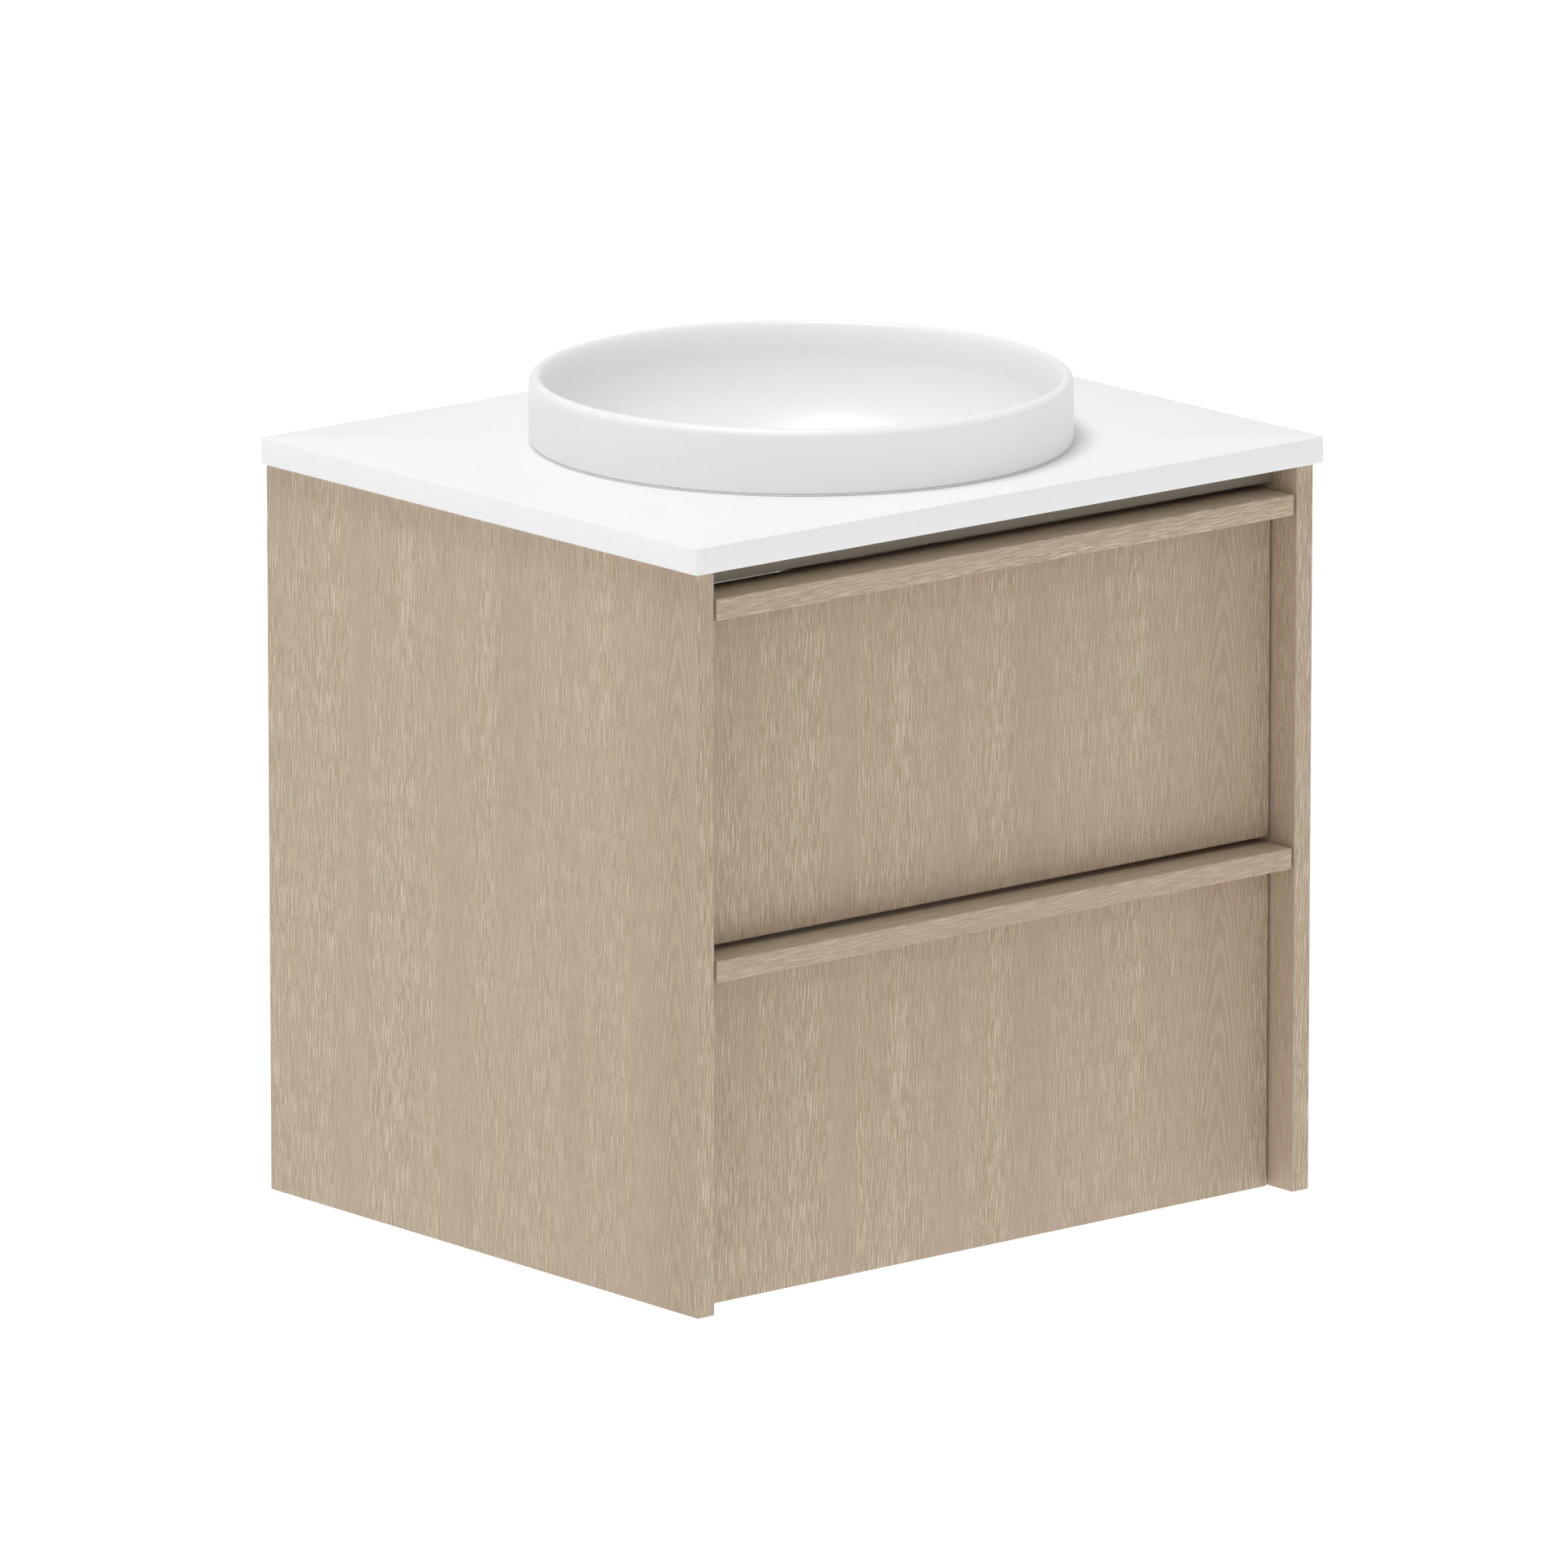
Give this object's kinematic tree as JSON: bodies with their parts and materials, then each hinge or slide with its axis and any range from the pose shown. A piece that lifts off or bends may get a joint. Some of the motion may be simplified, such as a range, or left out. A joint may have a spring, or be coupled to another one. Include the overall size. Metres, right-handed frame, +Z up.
{
  "type": "wall-hung vanity with semi-inset basin",
  "caption": "Wall-hung oak-veneer vanity with full-width handle rails, a white slab top, a round semi-inset basin, pop-up waste and bottle trap.",
  "frame": {"origin": "centre of the hanging rail's back face, on the wall plane", "axes": "+Z up, +Y into the wall, +X to the right for someone facing the front"},
  "size_m": [0.6, 0.5, 0.6193],
  "materials": {
    "oak_veneer": "satin",
    "white_board": "satin",
    "solid_surface": "satin",
    "ceramic": "satin",
    "chrome": "polished",
    "steel": "satin",
    "rubber": "matte",
    "sealant": "satin",
    "plastic": "matte"
  },
  "bodies": {
    "cabinet": {"cabinet_side_left": "oak_veneer", "cabinet_side_right": "oak_veneer", "cabinet_base": "white_board", "hanging_rail": "white_board", "lower_back_rail": "white_board", "top_front_rail": "oak_veneer", "benchtop": "solid_surface", "basin": "ceramic", "basin_sealant": "sealant", "waste_body": "chrome", "waste_guide": "plastic", "waste_seal": "rubber", "waste_washer": "rubber", "waste_backnut": "chrome", "trap_inlet_nut": "chrome", "trap_inlet_tube": "chrome", "trap_body": "chrome", "trap_cup": "chrome", "trap_outlet_nut": "chrome", "trap_outlet_tube": "chrome", "wall_flange": "chrome", "upper_runner_fixed_left": "steel", "upper_runner_fixed_right": "steel", "lower_runner_fixed_left": "steel", "lower_runner_fixed_right": "steel"},
    "plug": {"waste_plug": "chrome"},
    "upper_drawer": {"upper_handle_rail": "oak_veneer", "upper_drawer_front": "oak_veneer", "upper_box_side_left": "white_board", "upper_box_side_right": "white_board", "upper_box_front": "white_board", "upper_box_base": "white_board", "upper_recess_side_left": "white_board", "upper_recess_side_right": "white_board", "upper_recess_front": "white_board", "upper_box_back_left": "white_board", "upper_box_back_right": "white_board", "upper_runner_drawer_left": "steel", "upper_runner_drawer_right": "steel", "upper_lock_left": "plastic", "upper_lock_right": "plastic"},
    "upper_runner_middles": {"upper_runner_middle_left": "steel", "upper_runner_middle_right": "steel"},
    "upper_lever_left": {"upper_lock_lever_left": "plastic"},
    "upper_lever_right": {"upper_lock_lever_right": "plastic"},
    "lower_drawer": {"lower_handle_rail": "oak_veneer", "lower_drawer_front": "oak_veneer", "lower_box_side_left": "white_board", "lower_box_side_right": "white_board", "lower_box_front": "white_board", "lower_box_base": "white_board", "lower_box_back": "white_board", "lower_runner_drawer_left": "steel", "lower_runner_drawer_right": "steel", "lower_lock_left": "plastic", "lower_lock_right": "plastic"},
    "lower_runner_middles": {"lower_runner_middle_left": "steel", "lower_runner_middle_right": "steel"},
    "lower_lever_left": {"lower_lock_lever_left": "plastic"},
    "lower_lever_right": {"lower_lock_lever_right": "plastic"}
  },
  "joints": [
    {"name": "plug_rise", "type": "slide", "parent": "cabinet", "child": "plug", "axis": [0, 0, 1], "range_m": [0, 0.009]},
    {"name": "upper_drawer_slide", "type": "slide", "parent": "cabinet", "child": "upper_drawer", "axis": [0, -1, 0], "range_m": [0, 0.38]},
    {"name": "upper_runner_extend", "type": "slide", "parent": "cabinet", "child": "upper_runner_middles", "axis": [0, -1, 0], "range_m": [0, 0.19]},
    {"name": "upper_lever_left_squeeze", "type": "hinge", "parent": "upper_drawer", "child": "upper_lever_left", "pos_m": [-0.18833, -0.3927, -0.19775], "axis": [0, 0, -1], "range_deg": [0, 4], "stiffness_Nm_per_rad": 0.4, "springref_deg": -2.86},
    {"name": "upper_lever_right_squeeze", "type": "hinge", "parent": "upper_drawer", "child": "upper_lever_right", "pos_m": [0.18833, -0.3927, -0.19775], "axis": [0, 0, 1], "range_deg": [0, 4], "stiffness_Nm_per_rad": 0.4, "springref_deg": -2.86},
    {"name": "lower_drawer_slide", "type": "slide", "parent": "cabinet", "child": "lower_drawer", "axis": [0, -1, 0], "range_m": [0, 0.38]},
    {"name": "lower_runner_extend", "type": "slide", "parent": "cabinet", "child": "lower_runner_middles", "axis": [0, -1, 0], "range_m": [0, 0.19]},
    {"name": "lower_lever_left_squeeze", "type": "hinge", "parent": "lower_drawer", "child": "lower_lever_left", "pos_m": [-0.18833, -0.3927, -0.4645], "axis": [0, 0, -1], "range_deg": [0, 4], "stiffness_Nm_per_rad": 0.4, "springref_deg": -2.86},
    {"name": "lower_lever_right_squeeze", "type": "hinge", "parent": "lower_drawer", "child": "lower_lever_right", "pos_m": [0.18833, -0.3927, -0.4645], "axis": [0, 0, 1], "range_deg": [0, 4], "stiffness_Nm_per_rad": 0.4, "springref_deg": -2.86}
  ],
  "couplings": [
    {"joint": "upper_runner_extend", "follows": "upper_drawer_slide", "ratio": 0.5},
    {"joint": "lower_runner_extend", "follows": "lower_drawer_slide", "ratio": 0.5}
  ]
}
